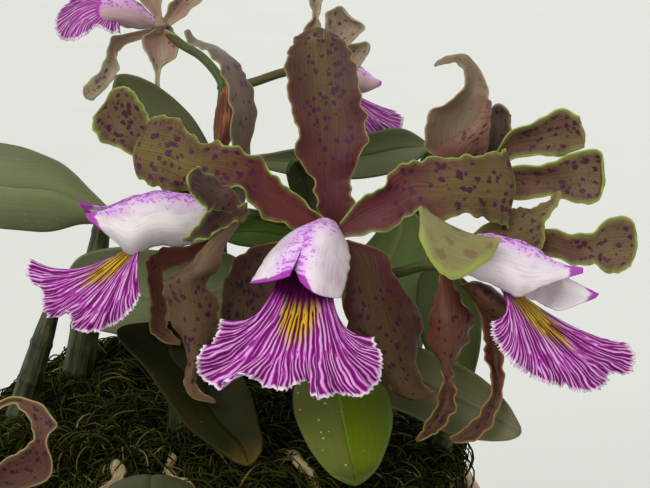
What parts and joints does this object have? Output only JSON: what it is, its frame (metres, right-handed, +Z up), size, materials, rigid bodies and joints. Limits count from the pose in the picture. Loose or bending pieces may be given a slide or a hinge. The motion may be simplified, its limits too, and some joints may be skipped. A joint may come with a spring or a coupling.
{
  "type": "potted orchid",
  "caption": "Spotted brown orchid in bloom with frilled purple lips, grey-green leaves and canes, over moss in a plain round clay pot.",
  "frame": {"origin": "middle of the underside of the pot, on the surface it stands on", "axes": "+Z up, +Y away from the viewer of the picture, +X to the viewer's right"},
  "size_m": [0.195, 0.1766, 0.2374],
  "materials": {
    "clay": "matt unglazed clay",
    "mix": "rough bark chips",
    "stem": "satin",
    "bulb": "satin",
    "column": "satin",
    "hood": "satin, finely veined",
    "lip": "satin, veined",
    "petal": "satin, spotted",
    "tepal": "satin, spotted",
    "leaf": "satin, leathery",
    "moss": "matt, fibrous"
  },
  "bodies": {
    "root": {"pot": "clay", "potting_mix": "mix", "flower_stem_back": "stem", "flower_stem_front": "stem", "flower_stem_corner": "stem", "pseudobulbs_left": "bulb", "pseudobulbs_back": "bulb", "pseudobulbs_right": "bulb", "pseudobulbs_front": "bulb", "middle_bloom_column": "column", "middle_bloom_lip_hood": "hood", "middle_bloom_lip_frill": "lip", "middle_bloom_left_petal": "petal", "middle_bloom_right_petal": "petal", "middle_bloom_right_sepal": "tepal", "middle_bloom_left_sepal": "tepal", "middle_bloom_dorsal_sepal": "tepal", "left_bloom_lip_hood": "hood", "left_bloom_lip_frill": "lip", "left_bloom_near_petal": "petal", "left_bloom_near_sepal": "tepal", "left_bloom_far_sepal": "tepal", "left_bloom_dorsal_sepal": "tepal", "left_bloom_far_petal": "petal", "right_bloom_lip_hood": "hood", "right_bloom_lip_frill": "lip", "right_bloom_near_petal": "petal", "right_bloom_near_sepal": "tepal", "right_bloom_far_sepal": "tepal", "right_bloom_dorsal_sepal": "tepal", "right_bloom_far_petal": "petal", "back_right_bloom_curled_sepal": "tepal", "back_right_bloom_upper_petal": "petal", "back_right_bloom_lower_petal": "petal", "back_right_bloom_strap_sepal": "tepal", "back_left_bloom_tepals": "tepal", "back_left_bloom_hood": "hood", "back_left_bloom_frill": "lip", "back_middle_bloom_tepals": "tepal", "back_middle_bloom_hood": "hood", "back_middle_bloom_frill": "lip", "corner_bloom_tepals": "tepal", "corner_bloom_hood": "hood", "corner_bloom_frill": "lip", "leaf_far_left": "leaf", "leaf_back_left": "leaf", "leaf_behind_middle": "leaf", "leaf_beside_dorsal": "leaf", "leaf_short_left": "leaf", "leaf_behind_left_bloom": "leaf", "leaf_front_down": "leaf", "leaf_front_bright": "leaf", "leaf_right": "leaf", "leaf_upright_right": "leaf", "leaf_behind_right": "leaf", "leaf_over_rim": "leaf", "moss": "moss"}
  },
  "joints": []
}
